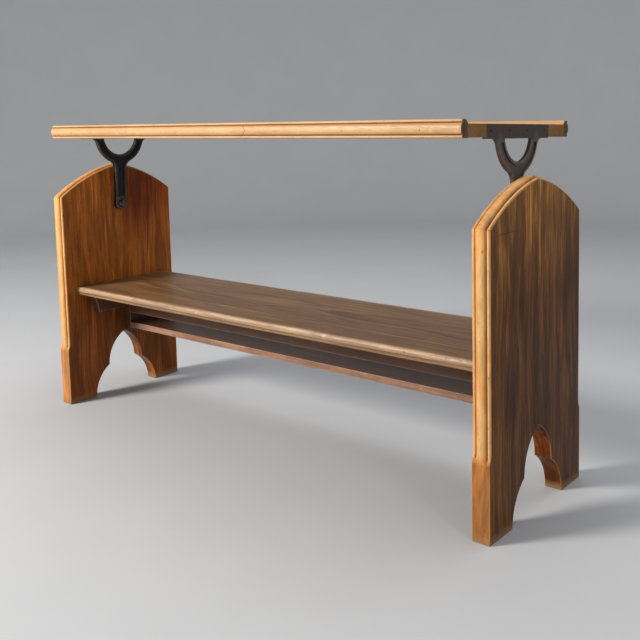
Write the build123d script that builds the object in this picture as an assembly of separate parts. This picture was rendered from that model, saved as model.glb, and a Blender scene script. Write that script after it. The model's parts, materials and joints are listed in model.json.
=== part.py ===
from build123d import *
import math
import os

# A church pew with a reversible back. Millimetres, +Z up, +X along the pew.
# The origin is on the floor, midway between the end panels and midway between
# their front and rear feet. The back board turns about one axis along X.

# --- driving dimensions -------------------------------------------------------
INNER_LENGTH = 1706.0        # between the inner faces of the end panels
PANEL_THICKNESS = 50.0
PANEL_DEPTH = 516.0
PANEL_HEIGHT = 888.0         # floor to the point of the arch
SEAT_HEIGHT = 437.0
SEAT_DEPTH = 414.0
SEAT_THICKNESS = 26.0
BACK_WIDTH = 582.0           # over both edge mouldings
HINGE_HEIGHT = 732.4
REST_LEAN = 1.7              # degrees that the back leans to the rear at rest

HALF_LENGTH = INNER_LENGTH / 2
HALF_DEPTH = PANEL_DEPTH / 2

# end panel
ARCH_RADIUS = 600.0          # each half of the pointed top is one arc
ARCH_CENTRE_OFFSET = 99.0    # its centre lies this far past the middle
EDGE_BEAD_SETBACK = 11.0     # arris beads stand back from the crest of the round
EDGE_BEAD_RADIUS = 5.0
EDGE_ROUND_HALF = 14.0       # half width of the broad round
EDGE_ROUND_RISE = 8.0        # crown of the broad round
EDGE_GROOVE_DEPTH = 1.0
MOULDING_STOP_HEIGHT = 200.0
MOULDING_STOP_LENGTH = 26.0
FOOT_ARRIS = 1.8             # softened edges of the plain feet and their cut-out

# foot cut-out of an end panel
FOOT_WIDTH = 117.0
CUT_APEX_HEIGHT = 231.0
CUSP_HEIGHT = 112.0
CUSP_HALF_WIDTH = 76.5
CUSP_STEP = 4.5
CUSP_DROP = 3.0

# seat
SEAT_FRONT_BOARD = 95.0      # width of the narrow front board
SEAT_NOSE_RADIUS = 9.0
SEAT_QUIRK_RADIUS = 1.6      # small groove run along the nosing
SEAT_QUIRK_DROP = 17.5       # its distance below the seat's top
ARRIS = 1.5                  # softened edge of a plain board

# rail, cleats and shelf under the seat
RAIL_FRONT = 6.0
RAIL_THICKNESS = 24.0
RAIL_HEIGHT = 105.0
CLEAT_THICKNESS = 31.0
SEAT_CLEAT_HALF = 152.0
SEAT_CLEAT_DEPTH = 78.0
SEAT_CLEAT_NOSE = 18.0
SEAT_CLEAT_HOLLOW = 5.0      # how far the nose's curve stands in front of its foot
HANGER_REAR = 190.0
HANGER_BOTTOM = 231.5
SHELF_TOP = 267.0
SHELF_THICKNESS = 22.5

# back board
BACK_CORE_BOTTOM = 984.0
BACK_CORE_THICKNESS = 33.5
BACK_END = 844.0             # outer face of the brackets and ends of the core
MOULDING_WIDTH = 34.0
MOULDING_BOTTOM = 982.5
MOULDING_HEIGHT = 46.0
MOULDING_END = 846.0
MOULDING_BEAD_RADIUS = 3.8
MOULDING_BEAD_SETBACK = 9.0
MOULDING_GROOVE_DEPTH = 1.0
MOULDING_GROOVE_WIDTH = 1.6
MOULDING_ROUND_RISE = 7.5
MOULDING_BEVEL = 10.0        # slope from the board's top up to the moulding's top

# iron bracket
CASTING_THICKNESS = 12.0
PLATE_HALF_WIDTH = 169.0
PLATE_BOTTOM = 980.0
STEM_HALF_WIDTH = 24.5
FORK_OUTER_RADIUS = 110.0
FORK_INNER_RADIUS = 75.0
FORK_CENTRE = 995.0
FORK_FLARE = 24.0
THROAT_FILLET = 34.0
RIB_WIDTH = 6.5
WEB_RECESS = 3.2

# pivot
BOLT_SHANK_RADIUS = 8.0
BOLT_HEAD_RADIUS = 15.0
BOLT_HEAD_RISE = 7.5
BOLT_DEPTH = 36.0            # into the end panel
WASHER_RADIUS = 22.0
PIVOT_CLEARANCE = 0.05
MOVING_GAP = 0.3

# fasteners
SCREW_HEAD_RADIUS = 4.6
SCREW_SHANK_RADIUS = 2.4
SCREW_LENGTH = 48.0
SCREW_HEAD_DEPTH = 3.0
SCREW_SLOT_HALF = 0.6
SCREW_SLOT_DEPTH = 1.2
HANGER_SCREW_DROP = 39.0     # hanger screws below the cleat
BRACKET_SCREW_PLACES = (-145.0, -47.0, 47.0, 145.0)
CLEAT_SCREW_PLACES = (-112.0, -40.0, 62.0, 118.0)
HANGER_SCREW_PLACES = (52.0, 150.0)


def box(x_low, x_high, y_low, y_high, z_low, z_high):
    """A block between six planes."""
    size = (x_high - x_low, y_high - y_low, z_high - z_low)
    middle = ((x_low + x_high) / 2, (y_low + y_high) / 2, (z_low + z_high) / 2)
    return Pos(*middle) * Box(*size)


def along_x(face_yz, x_low, x_high):
    """A flat outline drawn in the Y-Z plane, extruded from x_low to x_high."""
    return extrude(Pos(x_low, 0, 0) * face_yz, x_high - x_low, dir=(1, 0, 0))


def round_bar(radius, y, z, low, high):
    """A cylinder along X from low to high, centred on (y, z)."""
    return Pos((low + high) / 2, y, z) * Rot(0, 90, 0) * Cylinder(radius, high - low)


def yz_polygon(points):
    """A closed outline with straight sides in the Y-Z plane."""
    return make_face(Polyline([(0, y, z) for y, z in points], close=True))


def arc_through(centre, radius, start, end):
    """The short arc in the Y-Z plane from start to end about centre."""
    middle_y = (start[0] + end[0]) / 2 - centre[0]
    middle_z = (start[1] + end[1]) / 2 - centre[1]
    reach = radius / math.hypot(middle_y, middle_z)
    middle = (0, centre[0] + middle_y * reach, centre[1] + middle_z * reach)
    return ThreePointArc((0, *start), middle, (0, *end))


# --- end panels ---------------------------------------------------------------
def edge_profile(crest):
    """Moulded cross-section of the panel's edge as a face in the X-Y plane.

    It spans the thickness in X and reaches from the middle of the panel (Y = 0)
    out to Y = crest: bead, groove, broad flat round, groove, bead.
    """
    half = PANEL_THICKNESS / 2
    bead = crest - EDGE_BEAD_SETBACK
    bead_inner = half - 2 * EDGE_BEAD_RADIUS
    groove = bead - EDGE_GROOVE_DEPTH
    shoulder = crest - EDGE_ROUND_RISE
    bead_middle = half - EDGE_BEAD_RADIUS
    bead_top = bead + EDGE_BEAD_RADIUS
    edges = [
        Line((-half, 0), (half, 0)),
        Line((half, 0), (half, bead)),
        ThreePointArc((half, bead), (bead_middle, bead_top), (bead_inner, bead)),
        Line((bead_inner, bead), (bead_inner, groove)),
        Line((bead_inner, groove), (EDGE_ROUND_HALF, groove)),
        Line((EDGE_ROUND_HALF, groove), (EDGE_ROUND_HALF, shoulder)),
        ThreePointArc((EDGE_ROUND_HALF, shoulder), (0, crest), (-EDGE_ROUND_HALF, shoulder)),
        Line((-EDGE_ROUND_HALF, shoulder), (-EDGE_ROUND_HALF, groove)),
        Line((-EDGE_ROUND_HALF, groove), (-bead_inner, groove)),
        Line((-bead_inner, groove), (-bead_inner, bead)),
        ThreePointArc((-bead_inner, bead), (-bead_middle, bead_top), (-half, bead)),
        Line((-half, bead), (-half, 0)),
    ]
    return make_face(edges)


def moulded_slab():
    """The upper panel with moulded vertical edges, before its top is shaped."""
    front = Pos(0, 0, MOULDING_STOP_HEIGHT) * edge_profile(HALF_DEPTH)
    half_slab = extrude(front, PANEL_HEIGHT - MOULDING_STOP_HEIGHT + ARRIS, dir=(0, 0, 1))
    return half_slab + half_slab.mirror(Plane.XZ)


def arch_disc(side):
    """A disc with a moulded rim: one arc of the arch on side +1 (rear) or -1 (front)."""
    centre_z = PANEL_HEIGHT - math.sqrt(ARCH_RADIUS**2 - ARCH_CENTRE_OFFSET**2)
    disc = revolve(edge_profile(ARCH_RADIUS), Axis.X, 360)
    return Pos(0, -side * ARCH_CENTRE_OFFSET, centre_z) * disc


def foot_cutter():
    """The gothic opening between the feet, as a tool along X."""
    upper_rise = CUT_APEX_HEIGHT - CUSP_HEIGHT
    upper_radius = (CUSP_HALF_WIDTH**2 + upper_rise**2) / (2 * CUSP_HALF_WIDTH)
    low_half = HALF_DEPTH - FOOT_WIDTH
    top_half = CUSP_HALF_WIDTH + CUSP_STEP
    low_top = CUSP_HEIGHT - CUSP_DROP
    low_centre = (low_half**2 - top_half**2 - low_top**2) / (2 * (low_half - top_half))
    edges = []
    for side in (1, -1):
        apex = (0, CUT_APEX_HEIGHT)
        cusp = (side * CUSP_HALF_WIDTH, CUSP_HEIGHT)
        step = (side * top_half, low_top)
        foot = (side * low_half, 0)
        ground = (side * low_half, -ARRIS)
        upper_centre = (side * (CUSP_HALF_WIDTH - upper_radius), CUSP_HEIGHT)
        edges.append(arc_through(upper_centre, upper_radius, apex, cusp))
        edges.append(Line((0, *cusp), (0, *step)))
        edges.append(arc_through((side * low_centre, 0), low_half - low_centre, step, foot))
        edges.append(Line((0, *foot), (0, *ground)))
    edges.append(Line((0, low_half, -ARRIS), (0, -low_half, -ARRIS)))
    half = PANEL_THICKNESS / 2 + ARRIS
    return along_x(make_face(edges), -half, half)


def foot_block():
    """The plain lower part of a panel; the moulding dies into its sloped tops."""
    half = PANEL_THICKNESS / 2
    low = MOULDING_STOP_HEIGHT
    high = low + MOULDING_STOP_LENGTH
    inner = HALF_DEPTH - EDGE_BEAD_SETBACK - EDGE_GROOVE_DEPTH
    outline = yz_polygon([
        (-HALF_DEPTH, 0),
        (HALF_DEPTH, 0),
        (HALF_DEPTH, low),
        (inner, high),
        (-inner, high),
        (-HALF_DEPTH, low),
    ])
    block = along_x(outline, -half, half)
    uprights = block.edges().filter_by(Axis.Z)
    return chamfer(uprights, FOOT_ARRIS)


def end_panel(side):
    """One end panel; side is -1 for the left and +1 for the right."""
    panel = moulded_slab() & arch_disc(1) & arch_disc(-1)
    panel = panel + foot_block() - foot_cutter()
    panel = chamfer(cut_out_arrises(panel), FOOT_ARRIS)
    panel = panel - bolt_hole(side)
    panel = Pos(side * (HALF_LENGTH + PANEL_THICKNESS / 2), 0, 0) * panel
    return panel - cleat_screws(side)


def cut_out_arrises(panel):
    """The sharp edges of the foot cut-out on the two faces of a panel."""
    half = PANEL_THICKNESS / 2
    low_half = HALF_DEPTH - FOOT_WIDTH
    found = []
    for edge in panel.edges():
        middle = edge.center()
        inside = abs(middle.Y) < low_half + 1 and ARRIS < middle.Z < CUT_APEX_HEIGHT + 1
        if inside and abs(abs(middle.X) - half) < 0.01:
            found.append(edge)
    return found


def bolt_hole(side):
    """Blind hole for the pivot bolt, in a panel centred on X = 0."""
    inner_face = -side * PANEL_THICKNESS / 2
    low, high = sorted((inner_face, inner_face + side * BOLT_DEPTH))
    return round_bar(BOLT_SHANK_RADIUS, 0, HINGE_HEIGHT, low, high)


# --- seat ---------------------------------------------------------------------
def nosed_board(y_edge, y_joint):
    """A seat board whose edge at y_edge is nosed; y_joint is its plain edge."""
    out = 1 if y_edge > y_joint else -1
    top = SEAT_HEIGHT
    bottom = top - SEAT_THICKNESS
    board = box(-HALF_LENGTH, HALF_LENGTH, min(y_edge, y_joint), max(y_edge, y_joint), bottom, top)
    nose = board.edges().filter_by(Axis.X).group_by(Axis.Y)[-1 if out > 0 else 0]
    board = fillet(nose, SEAT_NOSE_RADIUS)
    end = HALF_LENGTH + ARRIS
    return board - round_bar(SEAT_QUIRK_RADIUS, y_edge, top - SEAT_QUIRK_DROP, -end, end)


def seat_boards():
    """The seat is a narrow front board and a wide rear board, butted."""
    joint = -SEAT_DEPTH / 2 + SEAT_FRONT_BOARD
    return nosed_board(-SEAT_DEPTH / 2, joint), nosed_board(SEAT_DEPTH / 2, joint)


# --- under the seat -----------------------------------------------------------
def seat_rail():
    """Long rail under the seat, between the hangers."""
    top = SEAT_HEIGHT - SEAT_THICKNESS
    half = HALF_LENGTH - CLEAT_THICKNESS
    return box(-half, half, RAIL_FRONT, RAIL_FRONT + RAIL_THICKNESS, top - RAIL_HEIGHT, top)


def seat_cleat(side):
    """Bearer under one end of the seat, with hollowed noses front and rear."""
    top = SEAT_HEIGHT - SEAT_THICKNESS
    bottom = top - SEAT_CLEAT_DEPTH
    half = SEAT_CLEAT_HALF
    inner = half - SEAT_CLEAT_NOSE
    flat = top - SEAT_CLEAT_NOSE
    edges = [Line((0, -half, top), (0, half, top)), Line((0, -inner, bottom), (0, inner, bottom))]
    for way in (1, -1):
        hollow = (0, way * (inner + SEAT_CLEAT_HOLLOW), (flat + bottom) / 2)
        edges.append(Line((0, way * half, top), (0, way * half, flat)))
        edges.append(ThreePointArc((0, way * half, flat), hollow, (0, way * inner, bottom)))
    low, high = sorted((side * HALF_LENGTH, side * (HALF_LENGTH - CLEAT_THICKNESS)))
    return along_x(make_face(edges), low, high) - cleat_screws(side)


def shelf_hanger(side):
    """Upright board under one seat cleat; the shelf is fixed to its face."""
    low, high = sorted((side * HALF_LENGTH, side * (HALF_LENGTH - CLEAT_THICKNESS)))
    top = SEAT_HEIGHT - SEAT_THICKNESS - SEAT_CLEAT_DEPTH
    return box(low, high, RAIL_FRONT, HANGER_REAR, HANGER_BOTTOM, top) - cleat_screws(side)


def shelf_board():
    """Book shelf between the hangers, with a softened front edge."""
    half = HALF_LENGTH - CLEAT_THICKNESS
    board = box(-half, half, RAIL_FRONT, HANGER_REAR, SHELF_TOP - SHELF_THICKNESS, SHELF_TOP)
    return chamfer(board.edges().filter_by(Axis.X), ARRIS)


# --- reversible back ----------------------------------------------------------
def lean(shape):
    """Turn a piece of the back about the hinge to its angle at rest."""
    hinge = Axis((0, 0, HINGE_HEIGHT), (1, 0, 0))
    return shape.rotate(hinge, -REST_LEAN)


def back_core():
    """The flat board of the back, notched at each end for a bracket's plate."""
    half = BACK_WIDTH / 2 - MOULDING_WIDTH
    top = BACK_CORE_BOTTOM + BACK_CORE_THICKNESS
    board = box(-BACK_END, BACK_END, -half, half, BACK_CORE_BOTTOM, top)
    for side in (-1, 1):
        low, high = sorted((side * (BACK_END + ARRIS), side * (BACK_END - CASTING_THICKNESS)))
        notch_half = PLATE_HALF_WIDTH
        notch = box(low, high, -notch_half, notch_half, BACK_CORE_BOTTOM - ARRIS, top + ARRIS)
        board = board - notch - bracket_screws(side)
    return board


def back_moulding(side):
    """Edge moulding of the back: two beads and a broad round on its outer edge."""
    outer = BACK_WIDTH / 2
    inner = outer - MOULDING_WIDTH
    bottom = MOULDING_BOTTOM
    top = bottom + MOULDING_HEIGHT
    bead = MOULDING_BEAD_RADIUS
    face = outer - MOULDING_BEAD_SETBACK
    groove = face - MOULDING_GROOVE_DEPTH
    low_bead_top = bottom + 2 * bead
    high_bead_foot = top - 2 * bead
    round_low = low_bead_top + MOULDING_GROOVE_WIDTH
    round_high = high_bead_foot - MOULDING_GROOVE_WIDTH
    round_middle = (round_low + round_high) / 2
    shoulder = outer - MOULDING_ROUND_RISE
    bevel = inner + MOULDING_BEVEL
    board_top = BACK_CORE_BOTTOM + BACK_CORE_THICKNESS
    low_bead = ((face, bottom), (face + bead, bottom + bead), (face, low_bead_top))
    high_bead = ((face, high_bead_foot), (face + bead, top - bead), (face, top))
    broad_round = ((shoulder, round_low), (outer, round_middle), (shoulder, round_high))
    outline = [
        low_bead,
        [(face, low_bead_top), (groove, low_bead_top), (groove, round_low), (shoulder, round_low)],
        broad_round,
        [(shoulder, round_high), (groove, round_high), (groove, high_bead_foot), (face, high_bead_foot)],
        high_bead,
        [(face, top), (bevel, top), (inner, board_top), (inner, bottom), (face, bottom)],
    ]
    edges = []
    for points in outline:
        points = [(0, y, z) for y, z in points]
        curve = ThreePointArc if len(points) == 3 else Polyline
        edges += curve(*points).edges()
    moulding = along_x(make_face(edges), -MOULDING_END, MOULDING_END)
    return moulding if side > 0 else moulding.mirror(Plane.XZ)


def fork_body(inset, low, high):
    """The bracket's outline, drawn in by inset, as a solid between two X planes."""
    plate_bottom = PLATE_BOTTOM + inset
    plate_half = PLATE_HALF_WIDTH - inset
    stem_half = STEM_HALF_WIDTH - inset
    outer_radius = FORK_OUTER_RADIUS - inset
    inner_radius = FORK_INNER_RADIUS + inset
    reach = FORK_OUTER_RADIUS + inset
    top = BACK_CORE_BOTTOM + BACK_CORE_THICKNESS - inset
    cup = round_bar(outer_radius, 0, FORK_CENTRE, low, high)
    cup = cup - box(low, high, -reach, reach, plate_bottom, FORK_CENTRE + reach)
    stem = box(low, high, -stem_half, stem_half, HINGE_HEIGHT, FORK_CENTRE - FORK_INNER_RADIUS)
    body = cup + stem
    throat = [
        edge
        for edge in body.edges().filter_by(Axis.X)
        if abs(abs(edge.center().Y) - stem_half) < 0.01 and edge.center().Z > HINGE_HEIGHT + 1
    ]
    body = fillet(throat, THROAT_FILLET + inset)
    body = body + box(low, high, -plate_half, plate_half, plate_bottom, top)
    flare = [
        edge
        for edge in body.edges().filter_by(Axis.X)
        if abs(edge.center().Z - plate_bottom) < 0.01 and abs(edge.center().Y) < plate_half - 1
    ]
    body = fillet(flare, FORK_FLARE)
    opening = round_bar(inner_radius, 0, FORK_CENTRE, low, high)
    opening = opening - box(low, high, -reach, reach, PLATE_BOTTOM - inset, FORK_CENTRE + reach)
    return body + round_bar(stem_half, 0, HINGE_HEIGHT, low, high) - opening


def back_bracket(side):
    """Cast Y bracket: plate, fork and stem with raised ribs round a thin web."""
    outer = BACK_END
    inner = BACK_END - CASTING_THICKNESS
    body = fork_body(0, inner, outer)
    rib_bottom = PLATE_BOTTOM - RIB_WIDTH
    plate_top = BACK_CORE_BOTTOM + BACK_CORE_THICKNESS
    for low, high in ((inner, inner + WEB_RECESS), (outer - WEB_RECESS, outer)):
        pocket = fork_body(RIB_WIDTH, low, high)
        pocket = pocket - box(low, high, -PLATE_HALF_WIDTH, PLATE_HALF_WIDTH, rib_bottom, plate_top)
        pocket = pocket - round_bar(STEM_HALF_WIDTH, 0, HINGE_HEIGHT, low, high)
        body = body - pocket
    body = body - round_bar(BOLT_SHANK_RADIUS + PIVOT_CLEARANCE, 0, HINGE_HEIGHT, inner, outer)
    body = body - bracket_screws(1)
    return body if side > 0 else body.mirror(Plane.YZ)


# --- pivot hardware -----------------------------------------------------------
def pivot_washer(side):
    """Iron boss between an end panel and its bracket."""
    inner = BACK_END + MOVING_GAP
    washer = round_bar(WASHER_RADIUS, 0, HINGE_HEIGHT, inner, HALF_LENGTH)
    washer = washer - round_bar(BOLT_SHANK_RADIUS, 0, HINGE_HEIGHT, inner, HALF_LENGTH)
    return washer if side > 0 else washer.mirror(Plane.YZ)


def pivot_bolt(side):
    """Coach bolt: domed head, plain shank through the bracket and into the panel."""
    head_face = BACK_END - CASTING_THICKNESS - MOVING_GAP
    head = round_bar(BOLT_HEAD_RADIUS, 0, HINGE_HEIGHT, head_face - BOLT_HEAD_RISE, head_face)
    rim = head.edges().filter_by(GeomType.CIRCLE).sort_by(Axis.X)[0]
    head = fillet(rim, BOLT_HEAD_RISE - ARRIS)
    shank_start = head_face - ARRIS
    shank = round_bar(BOLT_SHANK_RADIUS, 0, HINGE_HEIGHT, shank_start, HALF_LENGTH + BOLT_DEPTH)
    bolt = head + shank
    return bolt if side > 0 else bolt.mirror(Plane.YZ)


# --- screws -------------------------------------------------------------------
def screw(face_x, direction, y, z):
    """A countersunk screw along X whose slotted head is flush with face_x."""
    tip = face_x + direction * SCREW_LENGTH
    head_end = face_x + direction * SCREW_HEAD_DEPTH
    head = Pos((face_x + head_end) / 2, y, z) * Rot(0, direction * 90, 0)
    head = head * Cone(SCREW_HEAD_RADIUS, SCREW_SHANK_RADIUS, SCREW_HEAD_DEPTH)
    low, high = sorted((head_end, tip))
    body = head + round_bar(SCREW_SHANK_RADIUS, y, z, low, high)
    low, high = sorted((face_x, face_x + direction * SCREW_SLOT_DEPTH))
    slot = SCREW_HEAD_RADIUS
    return body - box(low, high, y - slot, y + slot, z - SCREW_SLOT_HALF, z + SCREW_SLOT_HALF)


def screw_group(face_x, direction, places):
    """Several screws in one group of separate solids."""
    return Compound([screw(face_x, direction, y, z) for y, z in places])


def bracket_screws(side):
    """Screws through a bracket's plate into the end of the back board."""
    middle = BACK_CORE_BOTTOM + BACK_CORE_THICKNESS / 2
    places = [(y, middle) for y in BRACKET_SCREW_PLACES]
    return screw_group(side * BACK_END, -side, places)


def cleat_screws(side):
    """Screws through one seat cleat and its hanger into the end panel."""
    face = side * (HALF_LENGTH - CLEAT_THICKNESS)
    cleat_bottom = SEAT_HEIGHT - SEAT_THICKNESS - SEAT_CLEAT_DEPTH
    cleat_middle = cleat_bottom + SEAT_CLEAT_DEPTH / 2
    hanger_middle = cleat_bottom - HANGER_SCREW_DROP
    places = [(y, cleat_middle) for y in CLEAT_SCREW_PLACES]
    places += [(y, hanger_middle) for y in HANGER_SCREW_PLACES]
    return screw_group(face, side, places)


# --- output -------------------------------------------------------------------
def main():
    os.makedirs("parts", exist_ok=True)
    front_board, rear_board = seat_boards()
    nodes = {
        "seat_board_front": front_board,
        "seat_board_rear": rear_board,
        "seat_rail": seat_rail(),
        "shelf_board": shelf_board(),
        "back_board": lean(back_core()),
        "back_moulding_front": lean(back_moulding(-1)),
        "back_moulding_rear": lean(back_moulding(1)),
    }
    for name, side in (("left", -1), ("right", 1)):
        nodes["end_panel_" + name] = end_panel(side)
        nodes["seat_cleat_" + name] = seat_cleat(side)
        nodes["shelf_hanger_" + name] = shelf_hanger(side)
        nodes["back_bracket_" + name] = lean(back_bracket(side))
        nodes["pivot_washer_" + name] = pivot_washer(side)
        nodes["pivot_bolt_" + name] = pivot_bolt(side)
        nodes["bracket_screws_" + name] = lean(bracket_screws(side))
        nodes["cleat_screws_" + name] = cleat_screws(side)
    for node, shape in nodes.items():
        export_step(shape, "parts/" + node + ".step")


main()
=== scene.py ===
import json
import math

import bmesh
import bpy
import numpy as np
from mathutils import Matrix, Vector


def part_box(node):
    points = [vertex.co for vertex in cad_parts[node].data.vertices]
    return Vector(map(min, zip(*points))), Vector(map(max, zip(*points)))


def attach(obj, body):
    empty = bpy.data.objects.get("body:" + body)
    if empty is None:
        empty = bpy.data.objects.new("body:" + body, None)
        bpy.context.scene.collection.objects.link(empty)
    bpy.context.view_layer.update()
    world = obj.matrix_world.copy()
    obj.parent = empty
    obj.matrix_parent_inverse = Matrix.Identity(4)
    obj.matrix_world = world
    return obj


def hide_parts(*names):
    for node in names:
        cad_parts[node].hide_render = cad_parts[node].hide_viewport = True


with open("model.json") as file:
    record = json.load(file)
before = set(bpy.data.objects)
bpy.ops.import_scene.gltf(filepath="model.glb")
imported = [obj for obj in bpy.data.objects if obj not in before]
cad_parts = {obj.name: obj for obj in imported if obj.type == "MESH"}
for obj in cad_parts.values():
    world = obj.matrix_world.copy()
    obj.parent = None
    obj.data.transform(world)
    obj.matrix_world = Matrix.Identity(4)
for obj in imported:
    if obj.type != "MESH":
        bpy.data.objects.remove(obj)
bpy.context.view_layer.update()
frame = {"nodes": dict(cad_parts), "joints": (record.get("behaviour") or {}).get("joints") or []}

# A church pew with a reversible back, shown with its back lying flat over the iron brackets.
# Metres. X runs along the pew, Y to the rear and Z up, with the floor at zero.

# --- sizes --------------------------------------------------------------------
PANEL_LOW, PANEL_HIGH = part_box("end_panel_right")
PANEL_INNER = PANEL_LOW.x
PANEL_HALF = (PANEL_HIGH.x - PANEL_LOW.x) / 2
PANEL_MIDDLE = PANEL_INNER + PANEL_HALF
PANEL_DEPTH = PANEL_HIGH.y
PANEL_TOP = PANEL_HIGH.z
ARCH_RADIUS = 0.600
ARCH_OFFSET = 0.099            # an arc's centre lies this far past the middle
STOP_LOW = 0.198               # the moulding dies out between these heights
STOP_HIGH = 0.229
FOOT_WIDTH = 0.117
CUT_APEX = 0.231               # top of the opening between the feet
CUSP_HEIGHT = 0.112
CUSP_HALF = 0.0765
CUSP_STEP = 0.0045
CUSP_DROP = 0.003
FOOT_ROUND = 0.003             # worn corners at the floor
FOOT_ARRIS = 0.0022
SHOULDER_CUT = 0.0009          # depth of the mitre's line across the shoulders
SHOULDER_CUT_REACH = 0.012     # and how far in from the crest it goes
# Where a moulded edge's beads, groove and broad round lie. The setback is how far
# a bead's centre is drawn in from the crest of the round.
PANEL_EDGE = {"round_half": 0.0140, "round_depth": 0.0080, "setback": 0.011, "bead": 0.0050, "groove": 0.001}
BACK_EDGE = {"round_half": 0.0138, "round_depth": 0.0075, "setback": 0.009, "bead": 0.0038, "groove": 0.001}

SEAT_HALF_DEPTH = 0.207
SEAT_DROOP = 0.002             # of the front edge at mid-length
SEAT_NOSING = 0.009
SEAT_GROOVE_DROP = 0.0175      # from the top down to the small groove in the edge
SEAT_GROOVE_DEPTH = 0.0017
BOARD_ARRIS = 0.0015
CLEAT_NOSE = 0.018
CLEAT_HOLLOW = 0.005

BACK_HALF_WIDTH = 0.291
BACK_CORE_LOW = 0.984
BACK_CORE_HIGH = 1.0175
BACK_END = 0.844
MOULDING_WIDTH = 0.034
MOULDING_LOW = 0.9825
MOULDING_HALF = 0.023
MOULDING_END = 0.846
MOULDING_BEVEL = 0.010         # slope from the board's top up to the moulding's top
BACK_ARRIS = 0.0010
REST_LEAN = math.radians(1.7)
HINGE = frame["joints"][0]["pos_m"]

CASTING = 0.012                # thickness of an iron bracket
PLATE_LOW = 0.980
PLATE_HALF = 0.169
STEM_HALF = 0.0245
FORK_OUTER = 0.110
FORK_INNER = 0.075
FORK_CENTRE = 0.995
FORK_FLARE = 0.024
THROAT = 0.034
RIB = 0.0065
RIB_CROWN = 0.0022             # how far the rounding reaches from the pocket's edge onto the rib
RIB_FLANK = 0.0009             # how far the pocket's wall slopes
WEB_RECESS = 0.0032
WEB_FILLET = 0.0008
WEB_FILLET_REACH = 0.0022
BRACKET_ARRIS = 0.0017
BOLT_HOLE = 0.00805
BOLT_HOLE_ARRIS = 0.0006
RIB_WEAR_AND_GLINT = 0.3
SCREW_HOLE = 0.0047
SCREW_HOLE_ARRIS = 0.0003
BRACKET_SCREWS = (-0.145, -0.047, 0.047, 0.145)
CLEAT_SCREWS = (-0.112, -0.040, 0.062, 0.118)
HANGER_SCREWS = (0.052, 0.150)
CLEAT_SCREW_HEIGHT = 0.372
HANGER_SCREW_HEIGHT = 0.294

SHARP_ANGLE = math.radians(38)
SHARP_CORNER = math.radians(25)   # a corner of an outline that turns more is mitred
MITRE_REACH = 0.025
MARGIN = 0.0006                # unworn strip of a face beside its arris
SIDES = (("right", 1), ("left", -1))


# --- curves in a plane ----------------------------------------------------------
def run(start, end, spacing=0.004):
    """Points from start up to, but without, end, evenly spaced on a straight line."""
    start = np.array(start, float)
    end = np.array(end, float)
    count = max(1, round(float(np.linalg.norm(end - start)) / spacing))
    steps = np.arange(count)[:, None] / count
    return start + (end - start) * steps


def arc(centre, radius, first, last, spacing=0.004):
    """Points on a circle from angle first up to, but without, angle last, in radians."""
    count = max(3, round(abs(last - first) * radius / spacing))
    turn = first + (last - first) * np.arange(count) / count
    return np.array(centre) + radius * np.column_stack([np.cos(turn), np.sin(turn)])


def arc_between(centre, start, end, spacing=0.004):
    """The shorter arc about centre from start up to, but without, end."""
    first = math.atan2(start[1] - centre[1], start[0] - centre[0])
    last = math.atan2(end[1] - centre[1], end[0] - centre[0])
    turn = (last - first + math.pi) % (2 * math.pi) - math.pi
    return arc(centre, math.dist(start, centre), first, first + turn, spacing)


def without_repeats(path):
    """The closed path without points that fall on the one before."""
    gap = np.linalg.norm(path - np.roll(path, 1, axis=0), axis=1)
    return path[gap > 1e-6]


def mitres(path):
    """Right-hand offset of each point of a closed path, at a distance of one.

    With unit normals n and m of the two runs that meet at a point, it is
    (n + m) / (1 + n.m), so that both runs move by the same distance. Points near
    a sharp corner share the slant of its mitre, less and less with their distance
    from it, so that their offset lines don't cross.
    """
    before = path - np.roll(path, 1, axis=0)
    after = np.roll(path, -1, axis=0) - path
    length = np.linalg.norm(after, axis=1)
    before = before / np.linalg.norm(before, axis=1)[:, None]
    after = after / length[:, None]
    first = np.column_stack([before[:, 1], -before[:, 0]])
    second = np.column_stack([after[:, 1], -after[:, 0]])
    cosine = (first * second).sum(axis=1)
    offset = (first + second) / (1 + cosine)[:, None]
    right_turn = before[:, 1] * after[:, 0] - before[:, 0] * after[:, 1]
    corners = np.flatnonzero(cosine < math.cos(SHARP_CORNER))
    place = np.cumsum(length) - length
    total = length.sum()
    ahead = np.roll(corners, -1)
    for number, corner in enumerate(corners):
        slant = right_turn[corner] / (1 + cosine[corner])
        from_corner = (place - place[corner] + total / 2) % total - total / 2
        for way, neighbour in ((1, ahead[number]), (-1, corners[number - 1])):
            gap = way * (place[neighbour] - place[corner]) % total
            reach = min(MITRE_REACH, gap if gap > 0 else total)
            side = from_corner * way
            share = np.where((side > 1e-9) & (side < reach), 1 - side / reach, 0)
            tangent = after if way < 0 else before
            offset = offset + tangent * (way * slant * share)[:, None]
    return offset


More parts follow.
